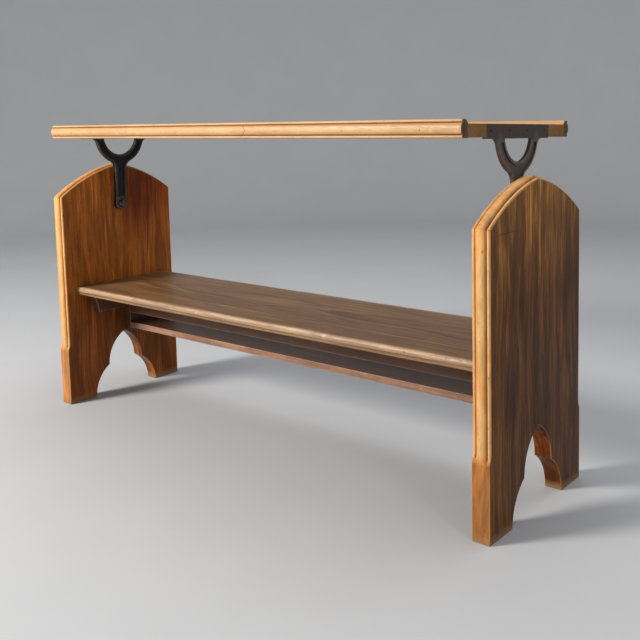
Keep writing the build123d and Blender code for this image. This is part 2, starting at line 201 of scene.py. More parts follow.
def rounded_outline(corners, spacing=0.008):
    """Closed outline through corners (u, v, radius), each rounded by an arc.

    Each arc has six steps, and a point stands a millimetre before and after it.
    Returns the points and a mark that is 1 on the arcs and 0 on the flats.
    """
    points = []
    marks = []
    count = len(corners)
    corner = [np.array(c[:2], float) for c in corners]
    for index, (_, _, radius) in enumerate(corners):
        here = corner[index]
        towards = corner[index - 1] - here
        onwards = corner[(index + 1) % count] - here
        towards = towards / np.linalg.norm(towards)
        onwards = onwards / np.linalg.norm(onwards)
        half = math.acos(max(-1.0, min(1.0, float(towards @ onwards)))) / 2
        reach = radius / math.tan(half)
        start = here + towards * reach
        end = here + onwards * reach
        middle = towards + onwards
        centre = here + middle / np.linalg.norm(middle) * radius / math.sin(half)
        bend = np.vstack([arc_between(centre, start, end, radius * (math.pi - 2 * half) / 6), end])
        points.append(bend)
        marks.append(np.ones(len(bend)))
        following = corners[(index + 1) % count]
        leave = np.linalg.norm(corner[(index + 1) % count] - end) - following[2]
        if leave > 0.006:
            flat = run(end + onwards * 0.001, end + onwards * (leave - 0.0008), spacing)
            flat = np.vstack([flat, end + onwards * (leave - 0.0008)])
            points.append(flat)
            marks.append(np.zeros(len(flat)))
    return np.vstack(points), np.concatenate(marks)


# --- noise for wear -------------------------------------------------------------
def soft_noise(points, wavelength, seed):
    """Smooth noise, mostly between -1 and 1: the sum of 16 sine waves whose
    directions, lengths near wavelength and phases are drawn from the seed."""
    rng = np.random.default_rng(seed)
    ways = rng.normal(size=(3, 16))
    ways = ways / np.linalg.norm(ways, axis=0)
    ways = ways * 2 * math.pi / (wavelength * rng.uniform(0.6, 1.6, 16))
    return np.sin(points @ ways + rng.uniform(0, 2 * math.pi, 16)).sum(axis=1) / 4


def rubbing(points, seed):
    """How far an edge is rubbed away, from 0 to about 1.5: a slow wave along the
    piece, a quick one, and now and then a dent."""
    slow = soft_noise(points, 0.30, seed)
    quick = soft_noise(points, 0.045, seed + 1)
    dent = np.clip(soft_noise(points, 0.022, seed + 2) - 1.1, 0, None)
    return np.clip(0.35 + 0.28 * slow + 0.12 * quick, 0, None) + 1.5 * dent


# --- sections of moulded edges ----------------------------------------------------
def moulded_edge(half, round_half, round_depth, setback, bead, groove):
    """Section of a moulded edge, from the face at +half to the face at -half.

    Across the thickness t, the depth d in from the crest follows a half-circle
    bead at each arris, a narrow groove, and a half-ellipse for the broad round.
    A thin margin on each face, without wear, comes first and last. Returns t, d,
    the crest mark and the groove mark.
    """
    turn = np.linspace(0, math.pi, 13)
    bead_t = half - bead + bead * np.cos(turn)
    bead_d = setback - bead * np.sin(turn)
    quirk_t = np.array([half - 2 * bead - 0.0002, round_half + 0.0002])
    quirk_d = np.full(2, setback + groove)
    swell = np.linspace(0, math.pi / 2, 12)
    round_t = round_half * np.cos(swell)
    round_d = round_depth * (1 - np.sin(swell))
    side_t = np.concatenate([[half], bead_t, quirk_t, round_t])
    side_d = np.concatenate([[setback + MARGIN], bead_d, quirk_d, round_d])
    crest = np.concatenate([[0], 0.4 + 0.6 * np.sin(turn), np.zeros(2), np.sin(swell) ** 2])
    # The groove mark puts dirt and painted shade into the groove, and a dark line of painted shade in the
    # crease where the bead meets the face.
    quirk = np.concatenate([[0, 0.8], np.zeros(12), np.ones(2), np.zeros(12)])
    back = slice(-2, None, -1)
    return (
        np.concatenate([side_t, -side_t[back]]),
        np.concatenate([side_d, side_d[back]]),
        np.concatenate([crest, crest[back]]),
        np.concatenate([quirk, quirk[back]]),
    )


def plain_edge(half, arris, count):
    """Section of a plain edge with count points: a margin and a quarter-circle
    arris at each face and a flat between, matched point by point to a moulded edge."""
    turn = np.linspace(0, math.pi / 2, 10)
    arris_t = np.append(half, half - arris + arris * np.cos(turn))
    arris_d = np.append(arris + MARGIN, arris - arris * np.sin(turn))
    arris_crest = np.append(0, np.sin(2 * turn))
    flat_t = np.linspace(half - arris, arris - half, count - 20)[1:-1]
    t = np.concatenate([arris_t, flat_t, -arris_t[::-1]])
    d = np.concatenate([arris_d, np.zeros(len(flat_t)), arris_d[::-1]])
    crest = np.concatenate([arris_crest, np.zeros(len(flat_t)), arris_crest[::-1]])
    return t, d, crest, np.zeros(count)


# --- meshes -----------------------------------------------------------------------
def grid_faces(rows, columns, first, close_rows, close_columns):
    """Quads between neighbours of a grid whose vertices start at number first."""
    row = np.arange(rows if close_rows else rows - 1)
    column = np.arange(columns if close_columns else columns - 1)
    row, column = (part.ravel() for part in np.meshgrid(row, column, indexing="ij"))
    next_row = (row + 1) % rows
    next_column = (column + 1) % columns
    corners = [(row, column), (next_row, column), (next_row, next_column), (row, next_column)]
    return np.column_stack([first + r * columns + c for r, c in corners])


def fill_flat(work, loops):
    """Fills the flat space bounded by closed loops of vertex numbers with triangles."""
    edges = []
    for loop in loops:
        for first, second in zip(loop, np.roll(loop, -1)):
            edges.append(work.edges.get((work.verts[first], work.verts[second])))
    bmesh.ops.triangle_fill(work, use_beauty=True, use_dissolve=False, edges=edges)


def lean(points):
    """Turn points of the back about the hinge to its angle at rest."""
    cosine = math.cos(REST_LEAN)
    sine = math.sin(REST_LEAN)
    y = points[:, 1] - HINGE[1]
    z = points[:, 2] - HINGE[2]
    turned = np.column_stack([y * cosine + z * sine, z * cosine - y * sine])
    return np.column_stack([points[:, 0], turned + np.array(HINGE[1:])])


def make_piece(name, vertices, quads, flats, marks, material, body, slot, node):
    """One closed mesh piece: smooth quads, flat fills, and named marks for its material.

    Each entry of flats is a list of loops: an outline, then any holes in it. The
    mark called end is 1 on the flats of a piece that is carried along the grain.
    """
    mesh = bpy.data.meshes.new(name)
    mesh.from_pydata(vertices.tolist(), [], quads.tolist())
    mesh.shade_smooth()
    work = bmesh.new()
    work.from_mesh(mesh)
    work.verts.ensure_lookup_table()
    for loops in flats:
        fill_flat(work, loops)
    bmesh.ops.recalc_face_normals(work, faces=work.faces)
    work.to_mesh(mesh)
    work.free()
    ends = (np.arange(len(mesh.polygons)) >= len(quads)) * marks.pop("end", 0.0)
    mesh.attributes.new("end", "FLOAT", "FACE").data.foreach_set("value", ends.astype(np.float32))
    for mark, values in marks.items():
        attribute = mesh.attributes.new(mark, "FLOAT", "POINT")
        attribute.data.foreach_set("value", np.asarray(values, np.float32))
    mesh.set_sharp_from_angle(angle=SHARP_ANGLE)
    piece = bpy.data.objects.new(name, mesh)
    bpy.context.scene.collection.objects.link(piece)
    mesh.materials.append(material)
    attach(piece, body)
    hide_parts(node)
    return piece


# --- pieces cut from an outline -----------------------------------------------------
def edge_strip(path, t, d):
    """A section carried round a closed path: point (i, j) lies t[i, j] across the
    thickness and d[i, j] inside path point i, along its mitre."""
    place = path[:, None, :] + mitres(path)[:, None, :] * d[:, :, None]
    return np.concatenate([t[:, :, None], place], axis=2).reshape(-1, 3)


def panel_outline():
    """Outline of an end panel in Y and Z: up the front edge, over the pointed arch,
    down the rear edge and round the opening between the feet."""
    centre_z = PANEL_TOP - math.sqrt(ARCH_RADIUS**2 - ARCH_OFFSET**2)
    shoulder_z = centre_z + math.sqrt(ARCH_RADIUS**2 - (PANEL_DEPTH + ARCH_OFFSET) ** 2)
    shoulder = (-PANEL_DEPTH, shoulder_z)
    apex = (0.0, PANEL_TOP)
    near = 0.0012
    arch_centre = (ARCH_OFFSET, centre_z)
    first = math.atan2(shoulder_z - centre_z, -PANEL_DEPTH - ARCH_OFFSET)
    last = math.atan2(PANEL_TOP - centre_z, -ARCH_OFFSET)
    slip = near / ARCH_RADIUS
    low_half = PANEL_DEPTH - FOOT_WIDTH
    corner = FOOT_ROUND
    outer = np.vstack([
        arc((-PANEL_DEPTH + corner, corner), corner, -math.pi / 2, -math.pi, 0.001),
        run((-PANEL_DEPTH, corner), (-PANEL_DEPTH, STOP_LOW - 0.01), 0.006),
        run((-PANEL_DEPTH, STOP_LOW - 0.01), (-PANEL_DEPTH, STOP_HIGH + 0.01), 0.0015),
        run((-PANEL_DEPTH, STOP_HIGH + 0.01), (-PANEL_DEPTH, shoulder_z - near), 0.004),
        [(-PANEL_DEPTH, shoulder_z - near), shoulder],
        arc(arch_centre, ARCH_RADIUS, first - slip, last + slip, 0.004),
    ])
    top_half = CUSP_HALF + CUSP_STEP
    low_top = CUSP_HEIGHT - CUSP_DROP
    upper_radius = (CUSP_HALF**2 + (CUT_APEX - CUSP_HEIGHT) ** 2) / (2 * CUSP_HALF)
    low_centre = (low_half**2 - top_half**2 - low_top**2) / (2 * (low_half - top_half))
    cusp = (CUSP_HALF, CUSP_HEIGHT)
    step = (top_half, low_top)
    cut = np.vstack([
        arc((low_half + corner, corner), corner, -math.pi / 2, -math.pi, 0.001),
        arc_between((low_centre, 0), (low_half, corner), step, 0.004),
        run(step, cusp, 0.002),
        arc_between((CUSP_HALF - upper_radius, CUSP_HEIGHT), cusp, (0, CUT_APEX), 0.004),
        [(0, CUT_APEX)],
    ])
    rear = outer[::-1] * (-1, 1)
    path = np.vstack([outer, [apex], rear, cut, cut[-2::-1] * (-1, 1)])
    return without_repeats(path), shoulder


def end_panel(name, side, material):
    """An end panel: its edge section changes from plain at the feet to moulded
    above them, the mitres at the shoulders are cut in a little, and the arrises
    are rubbed away unevenly."""
    path, shoulder = panel_outline()
    moulded = moulded_edge(PANEL_HALF, **PANEL_EDGE)
    plain = plain_edge(PANEL_HALF, FOOT_ARRIS, len(moulded[0]))
    height = np.clip((path[:, 1] - STOP_LOW) / (STOP_HIGH - STOP_LOW), 0, 1)
    on_edge = np.abs(path[:, 0]) > PANEL_DEPTH - 1e-4
    on_edge = on_edge | (path[:, 1] > CUT_APEX + 0.01)
    blend = (height * height * (3 - 2 * height) * on_edge)[:, None]
    t, d, crest, quirk = (p[None, :] * (1 - blend) + m[None, :] * blend for p, m in zip(plain, moulded))
    mitre_gap = np.hypot(np.abs(path[:, 0]) - PANEL_DEPTH, path[:, 1] - shoulder[1])
    mitre_cut = (mitre_gap < 0.0006)[:, None]
    d = d + SHOULDER_CUT * mitre_cut * (d < SHOULDER_CUT_REACH)
    quirk = np.maximum(quirk, 0.75 * mitre_cut)
    vertices = edge_strip(path, t, d)
    away = rubbing(vertices, 11 + side).reshape(t.shape) * crest
    d = d + 0.0006 * away
    vertices = edge_strip(path, t, d)
    vertices[:, 2] = np.clip(vertices[:, 2], 0, None)
    rows, columns = t.shape
    vertices[:, 0] += side * PANEL_MIDDLE
    numbers = np.arange(rows * columns).reshape(rows, columns)
    flats = [[numbers[:, 0]], [numbers[:, -1]]]
    quads = grid_faces(rows, columns, 0, True, False)
    # Painted shade darkens the edges of the opening between the feet.
    in_cut = (np.abs(path[:, :1]) < PANEL_DEPTH - FOOT_WIDTH + 0.004) & (path[:, 1:] < CUT_APEX + 0.001)
    quirk = np.maximum(quirk, 0.45 * in_cut)
    # Grooves on the inner face get half as much dirt and painted shade.
    quirk = quirk * np.where(np.sign(t) == side, 1, 0.5)
    handled = 0.25 * (np.abs(path[:, :1]) > PANEL_DEPTH - 0.001) + 0.30 * blend
    wear = np.clip(handled + crest * (0.45 + 0.4 * away), 0, 1)
    wear[:, [0, -1]] = 0
    # The outer face is faded olive brown, partly with a painted sheen.
    weather = np.zeros(t.shape)
    weather[:, 0 if side > 0 else -1] = 1
    marks = {"wear": wear.ravel(), "grime": np.clip(quirk.ravel(), 0, 1), "weather": weather.ravel()}
    return make_piece(name, vertices, quads, flats, marks, material, "frame", "panel_wood",
                      "end_panel_" + name.split("_")[-1])


# --- pieces carried along the pew -----------------------------------------------------
def carried_along_x(section, wear, grime, low, high, arris, spacing, seed, rub, changes=None):
    """A closed section in Y and Z carried along X from low to high.

    At each end the section draws in by a quarter circle of radius arris. The
    marked arrises move inwards by rub times the rubbing, and changes, a function
    of the points, may move them further. Returns vertices, quads, flats and marks.
    """
    turn = np.linspace(math.pi / 2, 0, 5)
    inset = arris * (1 - np.cos(turn))
    ends = arris * (1 - np.sin(turn))
    middle = run([low + arris + 0.001], [high - arris - 0.001], spacing).ravel()
    x = np.concatenate([low + ends, middle, high - ends[::-1]])
    inset = np.concatenate([inset, np.zeros(len(middle)), inset[::-1]])
    inward = mitres(section)
    columns = len(section)
    wear_grid = np.tile(wear, (len(x), 1))
    wear_grid[inset > 0] = np.maximum(wear_grid[inset > 0], 0.4)
    place = section[None, :, :] + inward[None, :, :] * inset[:, None, None]
    vertices = np.concatenate([np.repeat(x[:, None, None], columns, axis=1), place], axis=2)
    flat_points = vertices.reshape(-1, 3)
    away = rubbing(flat_points, seed).reshape(len(x), columns) * wear
    vertices[:, :, 1:] += inward[None, :, :] * (rub * away)[:, :, None]
    vertices = vertices.reshape(-1, 3)
    if changes is not None:
        vertices = changes(vertices)
    numbers = np.arange(len(vertices)).reshape(len(x), columns)
    flats = [[numbers[0]], [numbers[-1]]]
    quads = grid_faces(len(x), columns, 0, False, True)
    marks = {
        "wear": np.clip(wear_grid * (0.5 + 0.6 * away), 0, 1).ravel(),
        "grime": np.tile(grime, (len(x), 1)).ravel(),
        "end": 1.0,
    }
    return vertices, quads, flats, marks


def clockwise(section, *marks):
    """The section and its marks in clockwise order, so that mitres point inwards."""
    y, z = section[:, 0], section[:, 1]
    area = (y * np.roll(z, -1) - z * np.roll(y, -1)).sum()
    if area < 0:
        return (section, *marks)
    return (section[::-1], *(mark[::-1] for mark in marks))


def board(name, node, material, arris, front_wear, seed):
    """A plain board along X with rubbed arrises and a front face that is rubbed a little."""
    low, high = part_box(node)
    corners = [(low.y, low.z), (low.y, high.z), (high.y, high.z), (high.y, low.z)]
    section, wear = rounded_outline([(y, z, arris) for y, z in corners])
    wear = np.maximum(wear, front_wear * (section[:, 0] < low.y + 1e-5))
    section, wear = clockwise(section, wear)
    grime = np.zeros(len(section))
    mesh = carried_along_x(section, wear, grime, low.x, high.x, 0.0012, 0.006, seed, 0.0008)
    return make_piece(name, *mesh, material, "frame", "under_wood", node)


def seat_sag(points):
    """The seat's front edge droops, the most at mid-length and not at its ends."""
    forward = np.clip(-points[:, 1] / SEAT_HALF_DEPTH, 0, 1)
    drop = SEAT_DROOP * forward**2 * (1 - (points[:, 0] / PANEL_INNER) ** 2)
    return points - np.column_stack([np.zeros((len(points), 2)), drop])


def seat_section(edge, joint, top, bottom):
    """Section of a seat board: round nosing with a small groove under it at the
    edge, and a tight arris at the joint."""
    way = 1 if edge > joint else -1
    groove = top - SEAT_GROOVE_DROP
    in_groove = edge - way * SEAT_GROOVE_DEPTH
    corners = [
        (joint, top, 0.0011),
        (edge, top, SEAT_NOSING),
        (edge, groove + 0.0016, 0.0005),
        (in_groove, groove + 0.0010, 0.0003),
        (in_groove, groove - 0.0010, 0.0003),
        (edge, groove - 0.0016, 0.0005),
        (edge, bottom, 0.0015),
        (joint, bottom, 0.0006),
    ]
    section, _ = rounded_outline(corners)
    return section


def seat_board(name, node, material, edge, joint, seed):
    """A plank of the seat, rubbed pale along its nosing and less on the top beside it and along the joint,
    with dirt in the groove. A painted highlight brightens the top of the nosing's round."""
    low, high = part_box(node)
    section = seat_section(edge, joint, high.z, low.z)
    depth = np.abs(section[:, 0] - edge)
    from_groove = np.abs(section[:, 1] - (high.z - SEAT_GROOVE_DROP))
    grime = 0.5 * ((depth > 0.0006) & (depth < 0.003) & (from_groove < 0.0015))
    rubbed = np.clip((section[:, 1] - low.z - 0.004) / 0.014, 0.15, 1)
    # A bright line near the top of the nosing's round: partly rubbed wood, partly a painted highlight.
    crest = np.exp(-(((section[:, 1] - high.z + 0.0022) / 0.0022) ** 2))
    nosing = (0.62 + 0.38 * crest) * (depth < 0.012) * rubbed
    on_top = section[:, 1] > high.z - 1e-5
    wear = np.maximum(nosing, 0.3 * on_top * np.exp(-depth / 0.012))
    wear = np.maximum(wear, 0.25 * (depth > high.y - low.y - 0.002))
    section, wear, grime = clockwise(section, wear, grime)
    mesh = carried_along_x(section, wear, grime, low.x, high.x, 0.0008, 0.005, seed, 0.0011, seat_sag)
    return make_piece(name, *mesh, material, "frame", "seat_wood", node)


def back_moulding(name, side, material):
    """Edge moulding of the back: a moulded edge outside and a sloped top inside."""
    t, d, crest, quirk = (part[1:-1] for part in moulded_edge(MOULDING_HALF, **BACK_EDGE))
    middle = MOULDING_LOW + MOULDING_HALF
    edge = np.column_stack([BACK_HALF_WIDTH - d, middle + t])
    inner = BACK_HALF_WIDTH - MOULDING_WIDTH
    high = MOULDING_LOW + 2 * MOULDING_HALF
    inside = np.vstack([
        run((inner + 0.0002, MOULDING_LOW), (inner, MOULDING_LOW + 0.0002), 0.001),
        run((inner, MOULDING_LOW + 0.0002), (inner, BACK_CORE_HIGH), 0.02),
        run((inner, BACK_CORE_HIGH), (inner + MOULDING_BEVEL, high), 0.003),
        run((inner + MOULDING_BEVEL, high), (BACK_HALF_WIDTH - d[0] - 0.001, high), 0.003),
    ])
    bottom = run((BACK_HALF_WIDTH - d[0] - 0.001, MOULDING_LOW), (inner + 0.0002, MOULDING_LOW), 0.004)
    section = np.vstack([edge, bottom, inside])
    extra = len(section) - len(edge)
    rise = np.zeros(extra)
    rise[-4:] = 0.5
    wear = np.concatenate([crest, rise])
    grime = np.concatenate([quirk, np.zeros(extra)])
    if side < 0:
        section = section * (-1, 1)
    section, wear, grime = clockwise(section, wear, grime)
    mesh = carried_along_x(section, wear, grime, -MOULDING_END, MOULDING_END, 0.0012, 0.004,
                           31 + side, 0.0009, lean)
    return make_piece(name, *mesh, material, "back", "moulding_wood", name.replace("edge", "back_moulding"))


# --- pieces cut from a flat outline, plain edges -------------------------------------------
def ring(y, z, radius):
    """Outline of a round hole, in 28 steps."""
    turn = np.linspace(0, 2 * math.pi, 28, endpoint=False)
    return np.array([y, z]) + radius * np.column_stack([np.cos(turn), np.sin(turn)])


def flat_piece(paths, arrises, low, high, seed, rub):
    """A plate between X = low and X = high with a rounded arris along each outline.

    paths[0] runs clockwise and the others, its holes, the other way. Returns the
    vertices, the quads, the loops of both faces and the wear mark.
    """
    half = (high - low) / 2
    vertices, quads, marks, near, far = [], [], [], [], []
    first = 0
    for path, arris in zip(paths, arrises):
        t, d, crest, _ = plain_edge(half, arris, 24)
        shape = (len(path), len(t))
        depth = np.tile(d, (shape[0], 1))
        strip = edge_strip(path, np.tile(t, (shape[0], 1)), depth)
        away = rubbing(strip, seed).reshape(shape) * crest
        strip = edge_strip(path, np.tile(t, (shape[0], 1)), depth + rub * away)
        vertices.append(strip)
        quads.append(grid_faces(*shape, first, True, False))
        marks.append(np.clip(np.tile(crest, (shape[0], 1)) * (0.5 + 0.6 * away), 0, 1).ravel())
        numbers = first + np.arange(strip.shape[0]).reshape(shape)
        near.append(numbers[:, 0])
        far.append(numbers[:, -1])
        first += strip.shape[0]
    vertices = np.vstack(vertices)
    vertices[:, 0] += (low + high) / 2
    return vertices, np.vstack(quads), near, far, np.concatenate(marks)


def cleat_outline(low, high):
    """Half of a cleat in Y and Z with its hollowed nose, then its mirror image."""
    inner = high.y - CLEAT_NOSE
    flat = high.z - CLEAT_NOSE
    bottom = low.z
    hollow = (inner + CLEAT_HOLLOW, (flat + bottom) / 2)
    centre = circle_through((high.y, flat), hollow, (inner, bottom))
    half = np.vstack([
        run((0, high.z), (high.y, high.z), 0.006),
        run((high.y, high.z), (high.y, flat), 0.003),
        arc_between(centre, (high.y, flat), (inner, bottom), 0.003),
        run((inner, bottom), (0, bottom), 0.006),
        [(0, bottom)],
    ])
    return without_repeats(np.vstack([half, half[-2:0:-1] * (-1, 1)]))


def hanger_outline(low, high):
    """Rectangle of a shelf hanger in Y and Z, clockwise."""
    corners = [(low.y, low.z), (low.y, high.z), (high.y, high.z), (high.y, low.z)]
    return np.vstack([run(start, end, 0.005) for start, end in zip(corners, corners[1:] + corners[:1])])


def screwed_board(name, node, material, outline, screw_places, screw_height, seed):
    """A bearer or a hanger at the seat's end, with a hole for each of its screws."""
    low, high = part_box(node)
    holes = [ring(y, screw_height, SCREW_HOLE) for y in screw_places]
    arrises = [BOARD_ARRIS] + [SCREW_HOLE_ARRIS] * len(holes)
    paths = [outline(low, high)] + holes
    vertices, quads, near, far, wear = flat_piece(paths, arrises, low.x, high.x, seed, 0.0007)
    marks = {"wear": wear, "grime": np.zeros(len(vertices))}
    return make_piece(name, vertices, quads, [near, far], marks, material, "frame", "under_wood", node)


def circle_through(a, b, c):
    """Centre of the circle through three points of a plane."""
    rows = np.array([[b[0] - a[0], b[1] - a[1]], [c[0] - a[0], c[1] - a[1]]])
    sums = np.array([
        (b[0] ** 2 - a[0] ** 2 + b[1] ** 2 - a[1] ** 2) / 2,
        (c[0] ** 2 - a[0] ** 2 + c[1] ** 2 - a[1] ** 2) / 2,
    ])
    return tuple(np.linalg.solve(rows, sums))


def back_core(name, material):
    """The flat board of the back, notched at its ends for the brackets' plates.

    Its outline lies in X and Y, so the strip is made with the thickness first and
    then turned so that the thickness is up.
    """
    half_width = BACK_HALF_WIDTH - MOULDING_WIDTH
    notch_x = BACK_END - CASTING
    quarter = np.vstack([
        run((0, half_width), (BACK_END, half_width), 0.02),
        run((BACK_END, half_width), (BACK_END, PLATE_HALF), 0.01),
        run((BACK_END, PLATE_HALF), (notch_x, PLATE_HALF), 0.004),
        run((notch_x, PLATE_HALF), (notch_x, 0), 0.02),
    ])
    lower = quarter[::-1] * (1, -1)
    right = np.vstack([quarter, lower])
    path = without_repeats(np.vstack([right, right[::-1] * (-1, 1)]))
    vertices, quads, near, far, wear = flat_piece([path], [BACK_ARRIS], BACK_CORE_LOW, BACK_CORE_HIGH,
                                                  51, 0.0005)
    # The top face is faded, partly with a painted sheen.
    weather = (vertices[:, 0] > BACK_CORE_HIGH - 1e-6) * 1.0
    vertices = lean(vertices[:, [1, 2, 0]])
    flats = [near, far]
    marks = {"wear": wear, "grime": np.zeros(len(vertices)), "weather": weather}
    return make_piece(name, vertices, quads, flats, marks, material, "back", "back_wood", "back_board")


# --- iron brackets ----------------------------------------------------------------------
def fork_points(inset):
    """Tangent points of the bracket's outline drawn in by inset, for Y above zero."""
    stem = STEM_HALF - inset
    outer = FORK_OUTER - inset
    throat = THROAT + inset
    throat_y = stem + throat
    throat_z = FORK_CENTRE - math.sqrt((outer + throat) ** 2 - throat_y**2)
    share = outer / (outer + throat)
    on_fork = (throat_y * share, FORK_CENTRE + (throat_z - FORK_CENTRE) * share)
    return stem, outer, (throat_y, throat_z), on_fork


def bracket_outline():
    """Outer outline of a bracket: round end, stem, throat, fork, flare and plate."""
    stem, outer, throat_centre, on_fork = fork_points(0)
    flare_z = PLATE_LOW - FORK_FLARE
    flare_y = math.sqrt((outer + FORK_FLARE) ** 2 - (flare_z - FORK_CENTRE) ** 2)
    share = outer / (outer + FORK_FLARE)
    on_flare = (flare_y * share, FORK_CENTRE + (flare_z - FORK_CENTRE) * share)
    hinge = HINGE[2]
    right = np.vstack([
        arc((0, hinge), stem, -math.pi / 2, 0, 0.003),
        run((stem, hinge), (stem, throat_centre[1]), 0.004),
        arc_between(throat_centre, (stem, throat_centre[1]), on_fork, 0.003),
        arc_between((0, FORK_CENTRE), on_fork, on_flare, 0.003),
        arc_between((flare_y, flare_z), on_flare, (flare_y, PLATE_LOW), 0.002),
        run((flare_y, PLATE_LOW), (PLATE_HALF, PLATE_LOW), 0.004),
        run((PLATE_HALF, PLATE_LOW), (PLATE_HALF, BACK_CORE_HIGH), 0.004),
        run((PLATE_HALF, BACK_CORE_HIGH), (0, BACK_CORE_HIGH), 0.006),
    ])
    left = right[::-1] * (-1, 1)
    return without_repeats(np.vstack([right, left]))[::-1]


def window_outline():
    """The open space inside the fork: an arc closed by the plate's underside."""
    drop = FORK_CENTRE - PLATE_LOW
    half = math.sqrt(FORK_INNER**2 - drop**2)
    return np.vstack([
        arc_between((0, FORK_CENTRE), (-half, PLATE_LOW), (0, FORK_CENTRE - FORK_INNER), 0.003),
        arc_between((0, FORK_CENTRE), (0, FORK_CENTRE - FORK_INNER), (half, PLATE_LOW), 0.003),
        run((half, PLATE_LOW), (-half, PLATE_LOW), 0.004),
    ])


def pocket_outline():
    """The thin web between the ribs: up the stem and both arms of the fork."""
    stem, outer, throat_centre, on_fork = fork_points(RIB)
    inner = FORK_INNER + RIB
    top = PLATE_LOW - RIB
    boss = STEM_HALF + 0.001
    low_z = HINGE[2] + math.sqrt(boss**2 - stem**2)
    outer_top = math.sqrt(outer**2 - (FORK_CENTRE - top) ** 2)
    inner_top = math.sqrt(inner**2 - (FORK_CENTRE - top) ** 2)
    right = np.vstack([
        arc_between((0, HINGE[2]), (0, HINGE[2] + boss), (stem, low_z), 0.003),
        run((stem, low_z), (stem, throat_centre[1]), 0.004),
        arc_between(throat_centre, (stem, throat_centre[1]), on_fork, 0.003),
        arc_between((0, FORK_CENTRE), on_fork, (outer_top, top), 0.003),
        run((outer_top, top), (inner_top, top), 0.003),
        arc_between((0, FORK_CENTRE), (inner_top, top), (0, FORK_CENTRE - inner), 0.003),
        [(0, FORK_CENTRE - inner)],
    ])
    left = right[::-1] * (-1, 1)
    return without_repeats(np.vstack([right, left]))


def rib_strip(path, face, depth, first):
    """Wall of a pocket: from the rib's crown, round the crown, down a slope and
    round the foot to the web. Crown and slope follow sines of a quarter turn."""
    turn = np.linspace(0, math.pi / 2, 6)
    shoulder = RIB_CROWN * 0.55
    foot = depth - WEB_FILLET
    out = np.concatenate([-RIB_CROWN * (1 - np.sin(turn)), RIB_FLANK * np.sin(turn[1:]), [WEB_FILLET_REACH]])
    slope = shoulder + (foot - shoulder) * np.sin(turn[1:])
    down = np.concatenate([shoulder * (1 - np.cos(turn)), slope, [depth]])
    shape = (len(path), len(out))
    place = path[:, None, :] + mitres(path)[:, None, :] * out[None, :, None]
    x = np.tile(face - np.sign(face) * down, (shape[0], 1))[:, :, None]
    return np.concatenate([x, place], axis=2).reshape(-1, 3), grid_faces(*shape, first, True, False), shape


def bracket(name, side, material):
    """Cast iron Y bracket: rounded outer edges, raised rounded ribs and a thin web."""
    paths = [bracket_outline(), window_outline(), ring(0, HINGE[2], BOLT_HOLE)]
    arrises = [BRACKET_ARRIS, BRACKET_ARRIS, BOLT_HOLE_ARRIS]
    for y in BRACKET_SCREWS:
        paths.append(ring(y, (BACK_CORE_LOW + BACK_CORE_HIGH) / 2, SCREW_HOLE))
        arrises.append(SCREW_HOLE_ARRIS)
    pocket = pocket_outline()
    half = CASTING / 2
    vertices, quads, near, far, wear = flat_piece(paths, arrises, -half, half, 61 + side, 0.0004)
    flats = []
    parts = [vertices]
    faces = [quads]
    marks = [wear]
    first = len(vertices)
    for face, loops in ((half, near), (-half, far)):
        strip, strip_faces, shape = rib_strip(pocket, face, WEB_RECESS, first)
        numbers = first + np.arange(len(strip)).reshape(shape)
        parts.append(strip)
        faces.append(strip_faces)
        # The crowns of the ribs get a bright tone: partly rubbed metal, partly a painted highlight.
        crown = np.zeros(shape[1])
        crown[:6] = (RIB_WEAR_AND_GLINT, 0.7, 1.0, 1.0, 0.7, 0.3)
        marks.append(np.tile(crown, shape[0]))
        flats.append([*loops, numbers[:, 0]])
        flats.append([numbers[:, -1]])
        first += len(strip)
    vertices = np.vstack(parts)
    wear = np.concatenate(marks)
    for loop in near + far:
        on_rib = vertices[loop, 2] < PLATE_LOW - 0.004
        wear[loop] = np.maximum(wear[loop], RIB_WEAR_AND_GLINT * on_rib)
    on_plate = (vertices[:, 2] > PLATE_LOW - 0.002) * 1.0
    vertices[:, 0] = side * (vertices[:, 0] + BACK_END - half)
    return make_piece(name, lean(vertices), np.vstack(faces), flats,
                      {"wear": wear, "grime": on_plate},
                      material, "back", "bracket_iron", "back_bracket_" + name.split("_")[-1])


# --- material nodes -------------------------------------------------------------------------
def add_node(tree, kind, inputs, **settings):
    """A shader node with its settings, and inputs that are values or other nodes' outputs."""
    node = tree.nodes.new("ShaderNode" + kind)
    for key, value in settings.items():
        setattr(node, key, value)
    for socket, value in inputs.items():
        if isinstance(value, bpy.types.NodeSocket):
            tree.links.new(value, node.inputs[socket])
        else:
            node.inputs[socket].default_value = value
    return node


def math_node(tree, operation, first, second=0.0):
    """One step of arithmetic on values."""
    return add_node(tree, "Math", {0: first, 1: second}, operation=operation).outputs[0]


def plus(tree, first, second):
    """The sum of two values."""
    return math_node(tree, "ADD", first, second)


def minus(tree, first, second):
    """The first value less the second."""
    return math_node(tree, "SUBTRACT", first, second)


def times(tree, first, second):
    """The product of two values."""
    return math_node(tree, "MULTIPLY", first, second)


def vector_node(tree, operation, first, second):
    """One step of arithmetic on vectors."""
    return add_node(tree, "VectorMath", {0: first, 1: second}, operation=operation).outputs[0]


def length_of(tree, vector):
    """The length of a vector."""
    return add_node(tree, "VectorMath", {0: vector}, operation="LENGTH").outputs["Value"]


def mark(tree, name):
    """A mark that the piece's mesh carries, such as its wear; zero without one."""
    return add_node(tree, "Attribute", {}, attribute_name=name).outputs["Fac"]


def object_coordinates(tree):
    """Places in the piece's own frame, in metres."""
    return add_node(tree, "TexCoord", {}).outputs["Object"]


def axes_of(tree, coordinates):
    """The X, Y and Z of a place, as three values."""
    return add_node(tree, "SeparateXYZ", {0: coordinates}).outputs


